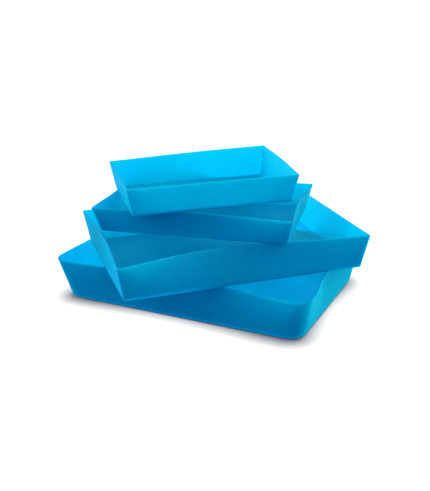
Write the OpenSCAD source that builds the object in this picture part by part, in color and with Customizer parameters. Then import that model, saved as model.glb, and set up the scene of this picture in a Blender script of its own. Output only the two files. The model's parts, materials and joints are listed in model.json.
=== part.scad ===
// Set of four one-piece silicone slab moulds, stacked crosswise. Each mould stands on the rim of the one
// below it. The origin is the centre of the large mould's underside, +X runs along its length, +Z is up.

/* [Silicone] */
// Thickness of every side wall
wall = 2; // [1.4:0.1:3]
// Thickness of every floor
floor_thickness = 2.2; // [1.4:0.1:4]
// Radius where the walls meet the floor inside
inner_floor_radius = 1.5; // [0.5:0.5:4]

/* [Large mould] */
// Length over the rim
large_length = 300; // [260:1:360]
// Width over the rim
large_width = 200; // [170:1:240]
// Height from the table to the rim
large_height = 46; // [36:1:60]
// How far the foot stands in from the rim on each side
large_taper = 10; // [4:0.5:14]
// Radius of the four upright corners at the rim
large_corner_radius = 17; // [8:1:25]
// Radius of the edge round the underside
large_foot_radius = 5; // [3:0.5:7]
// How far the front rim sags inward
large_front_bow = 11; // [0:0.5:20]
// How far the right rim sags inward
large_right_bow = 9; // [0:0.5:15]
// How far the back rim sags inward
large_back_bow = 7; // [0:0.5:20]
// How far the left rim sags inward
large_left_bow = 2; // [0:0.5:15]

/* [Medium mould] */
// Length over the rim
medium_length = 272; // [240:1:300]
// Width over the rim
medium_width = 192; // [160:1:220]
// Height from foot to rim
medium_height = 37.5; // [28:0.5:50]
// How far the foot stands in from the rim on each side
medium_taper = 6.5; // [3:0.5:12]
// How far the front rim sags inward
medium_front_bow = 19; // [0:0.5:22]
// Where the front rim sags most, as a share of its length from the left
medium_front_bow_place = 0.42; // [0.35:0.01:0.65]
// How far the left rim sags inward
medium_left_bow = 5; // [0:0.5:15]
// Centre of the mould along X
medium_x = 14; // [-10:1:20]
// Centre of the mould along Y
medium_y = -9; // [-15:1:15]
// Turn of the mould about the vertical
medium_turn = 44; // [30:1:60]

/* [Small mould] */
// Length over the rim
small_length = 218; // [200:1:240]
// Width over the rim
small_width = 140; // [125:1:155]
// Height from foot to rim
small_height = 27.5; // [20:0.5:40]
// How far the foot stands in from the rim on each side
small_taper = 7; // [3:0.5:10]
// How far the front rim sags inward
small_front_bow = 8; // [0:0.5:15]
// How far the right rim sags inward
small_right_bow = 5; // [0:0.5:12]
// How far the back rim sags inward
small_back_bow = 2; // [0:0.5:15]
// How far the left rim sags inward
small_left_bow = 3; // [0:0.5:12]
// Centre of the mould along X
small_x = -4; // [-12:1:8]
// Centre of the mould along Y
small_y = -4; // [-10:1:8]
// Turn of the mould about the vertical
small_turn = 11; // [4:1:18]

/* [Mini mould] */
// Length over the rim
mini_length = 186; // [170:1:210]
// Width over the rim
mini_width = 120; // [105:1:135]
// Height from foot to rim
mini_height = 31; // [22:0.5:42]
// How far the foot stands in from the rim on each side
mini_taper = 6; // [3:0.5:9]
// How far the right rim bulges outward
mini_right_bulge = 2; // [0:0.5:6]
// How far the back rim bulges outward
mini_back_bulge = 3; // [0:0.5:8]
// How far the back right corner of the rim springs up
mini_corner_lift = 4.5; // [0:0.5:8]
// Centre of the mould along X
mini_x = -10; // [-18:1:4]
// Centre of the mould along Y
mini_y = -4; // [-10:1:8]
// Turn of the mould about the vertical
mini_turn = 41; // [32:1:50]

/* [Hidden] */

// Heights at which the upper moulds stand
medium_z = large_height;
small_z = medium_z + medium_height;
mini_z = small_z + small_height;

// The three upper moulds have crisp corners and edges
crisp_corner_radius = 2;
crisp_foot_radius = 1;
mid_span = 0.5;

// Steps along each side and up each wall, and steps round an upright corner or a foot edge, which a
// crisp edge needs fewer of
side_steps = 8;
wall_steps = 2;
round_steps = 3;
crisp_steps = 1;

// The sag starts slowly above the stiff floor and is full at the rim
sag_power = 1.4;

// Deflection of a wall held at both corners, 0 to 1, with its largest value at place
function sag_along(share, place) =
    let (u = pow(share, ln(0.5) / ln(place)))
    16 * pow(u * (1 - u), 2);

// Outline of the mould at one level: half sizes, corner radius, and the sag of the front, right, back and
// left sides. Counter-clockwise from the front left corner.
function outline(half_x, half_y, radius, sag, place, steps) = [
    for (side = [0 : 3])
        let (
            along = side % 2 == 0 ? half_x : half_y,
            out = side % 2 == 0 ? half_y : half_x,
            turn = 90 * side
        )
        each concat(
            [for (i = [0 : side_steps])
                let (
                    share = i / side_steps,
                    x = (2 * share - 1) * (along - radius),
                    y = sag[side] * sag_along(share, side == 0 ? place : mid_span) - out
                )
                [x * cos(turn) - y * sin(turn), x * sin(turn) + y * cos(turn)]],
            [for (i = [1 : steps])
                let (
                    angle = 90 * i / (steps + 1),
                    x = along - radius + radius * sin(angle),
                    y = radius - out - radius * cos(angle)
                )
                [x * cos(turn) - y * sin(turn), x * sin(turn) + y * cos(turn)]]
        )
];

// Levels of one skin as [inset from the rim's outline, height]: an arc that rises from the horizontal
// base to meet the leaning wall, then even steps up to the rim
function levels(base_inset, base_z, radius, lean, height, steps) =
    let (reach = radius * (1 - sin(lean)) / cos(lean))
    concat(
        [for (i = [0 : steps])
            let (angle = -90 + (90 - lean) * i / steps)
            [base_inset + reach - radius * cos(angle), base_z + radius * (1 + sin(angle))]],
        let (
            start_z = base_z + radius * (1 - sin(lean)),
            rise = height - start_z
        )
        [for (i = [1 : wall_steps])
            let (z = start_z + rise * i / wall_steps)
            [base_inset - (z - base_z) * tan(lean), z]]
    );

// One mould: an outer skin, an inner skin, a flat rim between them, and a floor. lift is how far the rim
// springs up at its back right corner, fading to nothing at its other corners and at the floor.
module slab_mould(length, width, height, taper, corner_radius, foot_radius, sag, place, steps, lift = 0) {
    lean = atan(taper / height);
    wall_across = wall / cos(lean);
    outer = levels(taper, 0, foot_radius, lean, height, steps);
    inner_foot_inset = taper - floor_thickness * tan(lean) + wall_across;
    inner = levels(inner_foot_inset, floor_thickness, max(inner_floor_radius, foot_radius - wall),
        lean, height, steps);
    inner_down = [for (i = [len(inner) - 1 : -1 : 0]) inner[i]];
    skin = concat(outer, inner_down);
    rings = len(skin);
    per_ring = 4 * (side_steps + 1 + steps);
    points = [
        for (k = [0 : rings - 1])
            let (
                inset = skin[k][0],
                z = skin[k][1],
                radius = max(corner_radius - (k < len(outer) ? 0 : wall), crisp_corner_radius / 2),
                here = pow(z / height, sag_power),
                above_floor = max(z - floor_thickness, 0) / (height - floor_thickness),
                rise = lift * pow(above_floor, sag_power)
            )
            each [for (p = outline(length / 2 - inset, width / 2 - inset, radius, sag * here, place, steps))
                [p[0], p[1], z + rise * (0.5 + p[0] / length) * (0.5 + p[1] / width)]]
    ];
    strips = [
        for (k = [0 : rings - 2], i = [0 : per_ring - 1])
            let (
                j = (i + 1) % per_ring,
                a = k * per_ring,
                b = a + per_ring
            )
            each [[a + i, b + j, a + j], [a + i, b + i, b + j]]
    ];
    below = rings * per_ring;
    above = below + 1;
    last = (rings - 1) * per_ring;
    fans = [
        for (i = [0 : per_ring - 1])
            let (j = (i + 1) % per_ring)
            each [[below, i, j], [above, last + j, last + i]]
    ];
    centres = [[0, 0, 0], [0, 0, floor_thickness]];
    polyhedron(concat(points, centres), concat(strips, fans), convexity = 4);
}

module large_slab_mould() {
    color("deepskyblue")
        slab_mould(large_length, large_width, large_height, large_taper, large_corner_radius,
            large_foot_radius, [large_front_bow, large_right_bow, large_back_bow, large_left_bow], mid_span,
            round_steps);
}

module medium_slab_mould() {
    color("deepskyblue")
        translate([medium_x, medium_y, medium_z])
            rotate([0, 0, medium_turn])
                slab_mould(medium_length, medium_width, medium_height, medium_taper, crisp_corner_radius,
                    crisp_foot_radius, [medium_front_bow, 0, 0, medium_left_bow], medium_front_bow_place,
                    crisp_steps);
}

module small_slab_mould() {
    color("deepskyblue")
        translate([small_x, small_y, small_z])
            rotate([0, 0, small_turn])
                slab_mould(small_length, small_width, small_height, small_taper, crisp_corner_radius,
                    crisp_foot_radius, [small_front_bow, small_right_bow, small_back_bow, small_left_bow],
                    mid_span, crisp_steps);
}

module mini_slab_mould() {
    color("deepskyblue")
        translate([mini_x, mini_y, mini_z])
            rotate([0, 0, mini_turn])
                slab_mould(mini_length, mini_width, mini_height, mini_taper, crisp_corner_radius,
                    crisp_foot_radius, [0, -mini_right_bulge, -mini_back_bulge, 0], mid_span, crisp_steps,
                    mini_corner_lift);
}

large_slab_mould();
medium_slab_mould();
small_slab_mould();
mini_slab_mould();
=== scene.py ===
"""A stacked set of silicone slab moulds on a white studio floor. Metres, +Z up, in the row frame."""
import json
import math

import bmesh
import bpy
from mathutils import Matrix, Quaternion, Vector, noise


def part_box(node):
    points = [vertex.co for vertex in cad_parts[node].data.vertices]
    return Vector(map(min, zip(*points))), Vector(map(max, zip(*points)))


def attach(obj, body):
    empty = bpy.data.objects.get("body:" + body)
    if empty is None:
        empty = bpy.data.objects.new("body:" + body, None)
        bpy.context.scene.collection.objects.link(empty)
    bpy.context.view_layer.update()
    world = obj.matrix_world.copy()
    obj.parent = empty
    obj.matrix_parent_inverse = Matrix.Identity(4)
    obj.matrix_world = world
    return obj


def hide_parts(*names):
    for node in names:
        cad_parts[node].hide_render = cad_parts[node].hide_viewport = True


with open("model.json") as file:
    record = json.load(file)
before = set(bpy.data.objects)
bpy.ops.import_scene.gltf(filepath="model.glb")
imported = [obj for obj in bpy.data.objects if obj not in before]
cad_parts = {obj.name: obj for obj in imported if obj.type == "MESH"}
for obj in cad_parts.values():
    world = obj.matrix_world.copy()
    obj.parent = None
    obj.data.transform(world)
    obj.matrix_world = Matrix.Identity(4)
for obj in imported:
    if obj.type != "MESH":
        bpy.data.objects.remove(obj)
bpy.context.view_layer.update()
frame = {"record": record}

MM = 0.001

# ---------------------------------------------------------------- the four moulds, as part.scad has them
# Lengths are in millimetres and turns in degrees. sag is how far the front, right, back and left rims
# give inward, sag_place is where the front rim gives most, as a share of its length, and lift is how far
# the rim springs up at its back right corner.
MOULDS = {
    "large_slab_mould": dict(length=300, width=200, height=46, taper=10, corner=17, foot=5,
                             sag=(11, 9, 7, 2), sag_place=0.5, turn=0, lift=0),
    "medium_slab_mould": dict(length=272, width=192, height=37.5, taper=6.5, corner=2, foot=1,
                              sag=(19, 0, 0, 5), sag_place=0.42, turn=44, lift=0),
    "small_slab_mould": dict(length=218, width=140, height=27.5, taper=7, corner=2, foot=1,
                             sag=(8, 5, 2, 3), sag_place=0.5, turn=11, lift=0),
    "mini_slab_mould": dict(length=186, width=120, height=31, taper=6, corner=2, foot=1,
                            sag=(0, -2, -3, 0), sag_place=0.5, turn=41, lift=4.5),
}
WALL = 2.0
FLOOR = 2.2
INNER_FLOOR_RADIUS = 1.5
INNER_CORNER_RADIUS = 1.0
LIP_RADIUS = 0.8
SAG_POWER = 1.4  # how the sag and the lift of a rim grow from the floor up

# Steps along a side, round an upright corner, round a foot or lip, and up a wall
SIDE_STEPS = 48
CORNER_STEPS = 8
ARC_STEPS = 5
WALL_STEPS = 16
FLOOR_RINGS = (0.985, 0.94, 0.84, 0.68, 0.48, 0.26, 0.08)  # rings of a floor, as shares of its outline
QUARTER_TURNS = ((1, 0), (0, 1), (-1, 0), (0, -1))  # cosine and sine for the front, right, back and left

# Slow unevenness of the soft walls: how far in, over what length, and how far apart in the noise field
# two walls of one mould, and two moulds, are read
RIPPLE = 0.7
RIPPLE_LENGTH = 70
WALL_APART = 7.3
MOULD_APART = 3.1


def sag_along(share, place):
    """Deflection of a wall's rim that is held at both corners, 0 to 1 and largest at place."""
    u = share ** (math.log(0.5) / math.log(place))
    return 16 * (u * (1 - u)) ** 2


def ripple(seed, side, share, across):
    """Gentle inward unevenness of one wall, fading to nothing at its corners."""
    at = Vector((share * across / RIPPLE_LENGTH, side * WALL_APART, seed * MOULD_APART))
    return RIPPLE * (0.5 + 0.5 * noise.noise(at)) * 4 * share * (1 - share)


def outline(spec, seed, inset, radius, z):
    """The mould's outline at one level, counter-clockwise from the front left corner, in mm."""
    grow = (z / spec["height"]) ** SAG_POWER
    half = (spec["length"] / 2 - inset, spec["width"] / 2 - inset)
    points = []
    for side in range(4):
        along, out = half if side % 2 == 0 else half[::-1]
        place = spec["sag_place"] if side == 0 else 0.5
        cos, sin = QUARTER_TURNS[side]
        local = []
        for i in range(SIDE_STEPS + 1):
            share = (1 - math.cos(math.pi * i / SIDE_STEPS)) / 2
            inward = spec["sag"][side] * sag_along(share, place) + ripple(seed, side, share, 2 * along)
            local.append(((2 * share - 1) * (along - radius), inward * grow - out))
        for i in range(1, CORNER_STEPS):
            angle = math.radians(90 * i / CORNER_STEPS)
            bend = (along - radius + radius * math.sin(angle), radius - out - radius * math.cos(angle))
            local.append(bend)
        points += [(x * cos - y * sin, x * sin + y * cos) for x, y in local]
    return points


def skin_levels(base_inset, base_z, radius, lean, height):
    """One skin's levels as (inset, z): the arc round its flat base, then the wall up to the lip."""
    reach = radius * (1 - math.sin(lean)) / math.cos(lean)
    arc = []
    for i in range(ARC_STEPS + 1):
        angle = -math.pi / 2 + (math.pi / 2 - lean) * i / ARC_STEPS
        arc.append((base_inset + reach - radius * math.cos(angle), base_z + radius * (1 + math.sin(angle))))
    start, end = arc[-1][1], height - LIP_RADIUS
    rises = [start + (end - start) * (1 - math.cos(math.pi * i / WALL_STEPS)) / 2
             for i in range(1, WALL_STEPS + 1)]
    return arc + [(base_inset - (z - base_z) * math.tan(lean), z) for z in rises]


def rim_levels(wall_line, side, height):
    """One of the lip's two rounded edges, upwards, as (inset, z). wall_line gives that skin's inset at a
    height, and side is 1 for the outer skin and -1 for the inner one."""
    levels = []
    for i in range(1, ARC_STEPS + 1):
        angle = math.pi / 2 * i / ARC_STEPS
        z = height - LIP_RADIUS + LIP_RADIUS * math.sin(angle)
        levels.append((wall_line(z) + side * LIP_RADIUS * (1 - math.cos(angle)), z))
    return levels


def mould_mesh(name, spec, seed):
    """One closed silicone skin: underside, outer wall, rounded lip, inner wall and inner floor. Its
    vertices carry "lip", which is 1 along the top of the rim and 0 below its rounding, and masks the
    painted shade on the lip."""
    height = spec["height"]
    lean = math.atan(spec["taper"] / height)
    across = WALL / math.cos(lean)
    inner_base = spec["taper"] - FLOOR * math.tan(lean) + across
    outer = skin_levels(spec["taper"], 0, spec["foot"], lean, height)
    inner = skin_levels(inner_base, FLOOR, max(INNER_FLOOR_RADIUS, spec["foot"] - WALL), lean, height)
    outer += rim_levels(lambda z: spec["taper"] - z * math.tan(lean), 1, height)
    inner += rim_levels(lambda z: inner_base - (z - FLOOR) * math.tan(lean), -1, height)

    bm = bmesh.new()
    lip = bm.verts.layers.float.new("lip")

    def add_ring(inset, z, radius, shrink=1.0):
        ring = []
        rise = spec["lift"] * (max(z - FLOOR, 0) / (height - FLOOR)) ** SAG_POWER
        for x, y in outline(spec, seed, inset, radius, z):
            lifted = z + rise * (0.5 + x / spec["length"]) * (0.5 + y / spec["width"])
            vert = bm.verts.new((x * shrink * MM, y * shrink * MM, lifted * MM))
            # The lip mask, which places the painted shade on the top of the rim
            vert[lip] = max(0.0, 1 - (height - z) / LIP_RADIUS)
            ring.append(vert)
        return ring

    inner_radius = max(spec["corner"] - WALL, INNER_CORNER_RADIUS)
    rings = [add_ring(*outer[0], spec["corner"], shrink) for shrink in FLOOR_RINGS[::-1]]
    rings += [add_ring(inset, z, spec["corner"]) for inset, z in outer]
    rings += [add_ring(inset, z, inner_radius) for inset, z in inner[::-1]]
    rings += [add_ring(*inner[0], inner_radius, shrink) for shrink in FLOOR_RINGS]
    for low, high in zip(rings, rings[1:]):
        for i in range(len(low)):
            j = (i + 1) % len(low)
            bm.faces.new((low[i], low[j], high[j], high[i]))
    bm.faces.new(rings[0][::-1])
    bm.faces.new(rings[-1])
    for face in bm.faces:
        face.smooth = True
    mesh = bpy.data.meshes.new(name)
    bm.to_mesh(mesh)
    bm.free()
    return mesh


# ---------------------------------------------------------------- silicone
SCATTER_REACH = 0.019  # metres, for the colour that goes furthest
SCATTER_SHARES = (0.12, 0.75, 1.0)
SILICONE_IOR = 1.41
SILICONE_SPECULAR = 0.07
TINT_DEEP = (0.0, 0.41, 0.64, 1)
TINT_PALE = (0.0, 0.48, 0.71, 1)
# Painted shade on the top of the rim: the lip is coloured darker to take back the light that falls on it
# from above
LIP_PAINTED_SHADE = (0.0, 0.24, 0.48, 1)
NOISE_LOW, NOISE_HIGH = 0.3, 0.7  # the part of a noise field's range that is spread out

# Noise fields as (scale per metre, detail): the cloudy tint and the satin roughness
TINT_CLOUD = (14, 3)
SATIN_CLOUD = (60, 5)
SATIN_ROUGHNESS = (0.54, 0.66)

# Bumps as (noise scale, strength, depth in metres): the soft swells and the fine grain
BUMPS = ((140, 0.25, 0.0008), (900, 0.3, 0.0004))
BUMP_DETAIL = 3


def silicone():
    """Soft matte translucent silicone: light passes through the thin walls, and the lip has painted shade,
    a darker blue.
    """
    mat = bpy.data.materials.new("blue_silicone")
    mat.use_nodes = True
    nodes, links = mat.node_tree.nodes, mat.node_tree.links
    shader = nodes["Principled BSDF"]
    shader.inputs["Subsurface Weight"].default_value = 1.0
    shader.inputs["Subsurface Radius"].default_value = SCATTER_SHARES
    shader.inputs["Subsurface Scale"].default_value = SCATTER_REACH
    shader.inputs["IOR"].default_value = SILICONE_IOR
    shader.inputs["Specular IOR Level"].default_value = SILICONE_SPECULAR

    place = nodes.new("ShaderNodeTexCoord")

    def cloud(scale, detail, low, high):
        """A noise field whose middle part is spread from low to high."""
        field = nodes.new("ShaderNodeTexNoise")
        field.inputs["Scale"].default_value = scale
        field.inputs["Detail"].default_value = detail
        links.new(place.outputs["Object"], field.inputs["Vector"])
        spread = nodes.new("ShaderNodeMapRange")
        spread.inputs["From Min"].default_value = NOISE_LOW
        spread.inputs["From Max"].default_value = NOISE_HIGH
        spread.inputs["To Min"].default_value = low
        spread.inputs["To Max"].default_value = high
        links.new(field.outputs["Fac"], spread.inputs["Value"])
        return spread.outputs["Result"]

    tint = nodes.new("ShaderNodeMix")
    tint.data_type = "RGBA"
    tint.inputs["A"].default_value = TINT_DEEP
    tint.inputs["B"].default_value = TINT_PALE
    links.new(cloud(*TINT_CLOUD, 0, 1), tint.inputs["Factor"])
    lip = nodes.new("ShaderNodeAttribute")
    lip.attribute_name = "lip"
    # Painted shade on the lip: the top of the rim is mixed towards a darker blue
    edge = nodes.new("ShaderNodeMix")
    edge.data_type = "RGBA"
    edge.inputs["B"].default_value = LIP_PAINTED_SHADE
    links.new(lip.outputs["Fac"], edge.inputs["Factor"])
    links.new(tint.outputs["Result"], edge.inputs["A"])
    links.new(edge.outputs["Result"], shader.inputs["Base Color"])
    links.new(cloud(*SATIN_CLOUD, *SATIN_ROUGHNESS), shader.inputs["Roughness"])

    surface = None
    for scale, strength, depth in BUMPS:
        bump = nodes.new("ShaderNodeBump")
        bump.inputs["Strength"].default_value = strength
        bump.inputs["Distance"].default_value = depth
        links.new(cloud(scale, BUMP_DETAIL, 0, 1), bump.inputs["Height"])
        if surface:
            links.new(surface, bump.inputs["Normal"])
        surface = bump.outputs["Normal"]
    links.new(surface, shader.inputs["Normal"])
    return mat


def build_moulds():
    """The four moulds, lowest first, each standing where its CAD node stands and riding the same body."""
    material = silicone()
    pieces = []
    bodies = frame["record"]["behaviour"]["bodies"]
    body_of = {node: body for body, nodes in bodies.items() for node in nodes}
    for seed, (node, spec) in enumerate(MOULDS.items()):
        low, high = (Vector(corner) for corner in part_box(node))
        mesh = mould_mesh(node + "_skin", spec, seed)
        centre = Vector(((low.x + high.x) / 2, (low.y + high.y) / 2, low.z))
        mesh.transform(Matrix.Translation(centre) @ Matrix.Rotation(math.radians(spec["turn"]), 4, "Z"))
        mesh.materials.append(material)
        piece = bpy.data.objects.new(node + "_skin", mesh)
        bpy.context.collection.objects.link(piece)
        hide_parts(node)
        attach(piece, body_of[node])
        pieces.append(piece)
    return pieces


# ---------------------------------------------------------------- studio
# The camera: angles in degrees, its lens in millimetres, and the rest in metres
AZIMUTH, ELEVATION, ROLL = 25.83, 20.78, -0.76
TARGET = Vector((0.0228, -0.0394, 0.0677))
DISTANCE = 0.87
LENS = 59.2
CLIP_START = 0.01

# Light from above the horizon: the tent's roof, side walls and back wall, and its front, which is a dim
# opening low down and gives a blue fill higher up
TENT_TOP = (0.20, 0.20, 0.16)
TENT_LEFT = (2.6, 2.7, 2.6)
TENT_RIGHT = (2.6, 2.6, 2.5)
TENT_BACK = (0.4, 0.4, 0.4)
TENT_FRONT = (0.20, 0.40, 1.00)
TENT_OPENING = (0.0, 0.01, 0.03)

# Light from below the horizon, in the place of the floor's own bounce
TABLE_LEFT = (0.5, 1.1, 1.9)
TABLE_RIGHT = (1.2, 3.2, 3.4)
TABLE_FRONT = (0.0, 0.02, 0.20)

# What the camera sees behind the scene
BACKDROP = (1.0, 1.0, 1.0)

# Where one light gives way to the next, as the share of a direction that points to the camera, to its
# right, or up
BACK_TO_SIDES = (-0.95, -0.55)
SIDES_TO_FRONT = (-0.1, 0.35)
LEFT_TO_RIGHT = (-0.35, 0.35)
OPENING_TO_FRONT = (0.2, 0.45)
WALLS_TO_TOP = (0.5, 0.95)
TABLE_TO_WALLS = (-0.03, 0.0)

# The two lamps: one for the floor and the shadow on it, and a faint one for the hollows
FLOOR_LAMP = dict(energy=10.5, colour=(1, 1, 1), angle=48, beam=(0.01, -0.13, -1))
HOLLOW_LAMP = dict(energy=0.70, colour=(0.75, 0.85, 1.0), angle=40, beam=(0, 0, -1))

FLOOR_REACH = 30
FLOOR_COLOUR = (0.37, 0.355, 0.33, 1)


def build_floor():
    """A plain pale floor, which throws no light back on to the moulds."""
    mesh = bpy.data.meshes.new("floor")
    corners = [(-FLOOR_REACH, -FLOOR_REACH, 0), (FLOOR_REACH, -FLOOR_REACH, 0),
               (FLOOR_REACH, FLOOR_REACH, 0), (-FLOOR_REACH, FLOOR_REACH, 0)]
    mesh.from_pydata(corners, [], [(0, 1, 2, 3)])
    floor = bpy.data.objects.new("floor", mesh)
    bpy.context.collection.objects.link(floor)
    mat = bpy.data.materials.new("white_floor")
    mat.use_nodes = True
    shader = mat.node_tree.nodes["Principled BSDF"]
    shader.inputs["Base Color"].default_value = FLOOR_COLOUR
    shader.inputs["Roughness"].default_value = 0.9
    shader.inputs["Specular IOR Level"].default_value = 0.1
    mesh.materials.append(mat)
    floor.visible_diffuse = False
    floor.visible_glossy = False
    return floor


def build_world():
    """A light tent: two bright side walls, a dim roof and back, and a dimmer opening towards the camera."""
    world = bpy.data.worlds.new("light_tent")
    world.use_nodes = True
    nodes, links = world.node_tree.nodes, world.node_tree.links
    place = nodes.new("ShaderNodeTexCoord")

    def along(direction):
        """How far the way that light comes from points along direction, from -1 to 1."""
        dot = nodes.new("ShaderNodeVectorMath")
        dot.operation = "DOT_PRODUCT"
        dot.inputs[1].default_value = direction
        links.new(place.outputs["Generated"], dot.inputs[0])
        return dot.outputs["Value"]

    def fade(value, span, low, high):
        """A soft step from the light low to the light high, as value goes over the span."""
        step = nodes.new("ShaderNodeMapRange")
        step.interpolation_type = "SMOOTHSTEP"
        step.inputs["From Min"].default_value = span[0]
        step.inputs["From Max"].default_value = span[1]
        links.new(value, step.inputs["Value"])
        blend = nodes.new("ShaderNodeMix")
        blend.data_type = "RGBA"
        blend.clamp_result = False
        links.new(step.outputs["Result"], blend.inputs["Factor"])
        for socket, light in (("A", low), ("B", high)):
            if isinstance(light, tuple):
                blend.inputs[socket].default_value = (*light, 1)
            else:
                links.new(light, blend.inputs[socket])
        return blend.outputs["Result"]

    azimuth = math.radians(AZIMUTH)
    to_camera = along((math.sin(azimuth), -math.cos(azimuth), 0))
    to_right = along((math.cos(azimuth), math.sin(azimuth), 0))
    height = along((0, 0, 1))
    sides = fade(to_camera, BACK_TO_SIDES, TENT_BACK, fade(to_right, LEFT_TO_RIGHT, TENT_LEFT, TENT_RIGHT))
    opening = fade(height, OPENING_TO_FRONT, TENT_OPENING, TENT_FRONT)
    walls = fade(to_camera, SIDES_TO_FRONT, sides, opening)
    upper = fade(height, WALLS_TO_TOP, walls, TENT_TOP)
    table_sides = fade(to_right, LEFT_TO_RIGHT, TABLE_LEFT, TABLE_RIGHT)
    table = fade(to_camera, SIDES_TO_FRONT, table_sides, TABLE_FRONT)
    tent = fade(height, TABLE_TO_WALLS, table, upper)
    seen = nodes.new("ShaderNodeLightPath").outputs["Is Camera Ray"]
    links.new(fade(seen, (0, 1), tent, BACKDROP), nodes["Background"].inputs["Color"])
    bpy.context.scene.world = world


def add_overhead(name, spec, lit, shading):
    """A soft lamp that lights only the lit pieces and is shadowed only by the shading ones."""
    data = bpy.data.lights.new(name, "SUN")
    data.energy = spec["energy"]
    data.color = spec["colour"]
    data.angle = math.radians(spec["angle"])
    lamp = bpy.data.objects.new(name, data)
    lamp.rotation_mode = "QUATERNION"
    lamp.rotation_quaternion = Vector(spec["beam"]).to_track_quat("-Z", "Y")
    lamp.light_linking.receiver_collection = bpy.data.collections.new(name + "_lit")
    lamp.light_linking.blocker_collection = bpy.data.collections.new(name + "_shading")
    for piece in lit:
        lamp.light_linking.receiver_collection.objects.link(piece)
    for piece in shading:
        lamp.light_linking.blocker_collection.objects.link(piece)
    bpy.context.collection.objects.link(lamp)


def build_camera():
    """The photo's own view: from AZIMUTH and ELEVATION on to TARGET, with a slight roll."""
    azimuth, elevation = math.radians(AZIMUTH), math.radians(ELEVATION)
    back = Vector((math.sin(azimuth) * math.cos(elevation), -math.cos(azimuth) * math.cos(elevation),
                   math.sin(elevation)))
    data = bpy.data.cameras.new("camera")
    data.lens = LENS
    data.clip_start = CLIP_START
    camera = bpy.data.objects.new("camera", data)
    camera.rotation_mode = "QUATERNION"
    camera.location = TARGET + back * DISTANCE
    roll = Quaternion((0, 0, 1), math.radians(ROLL))
    camera.rotation_quaternion = (-back).to_track_quat("-Z", "Y") @ roll
    bpy.context.collection.objects.link(camera)
    bpy.context.scene.camera = camera


moulds = build_moulds()
floor = build_floor()
add_overhead("floor_light", FLOOR_LAMP, lit=[floor], shading=moulds[:1])
add_overhead("hollow_light", HOLLOW_LAMP, lit=moulds, shading=[floor])
build_world()
build_camera()
bpy.context.scene.view_settings.view_transform = "Standard"

bpy.context.view_layer.update()
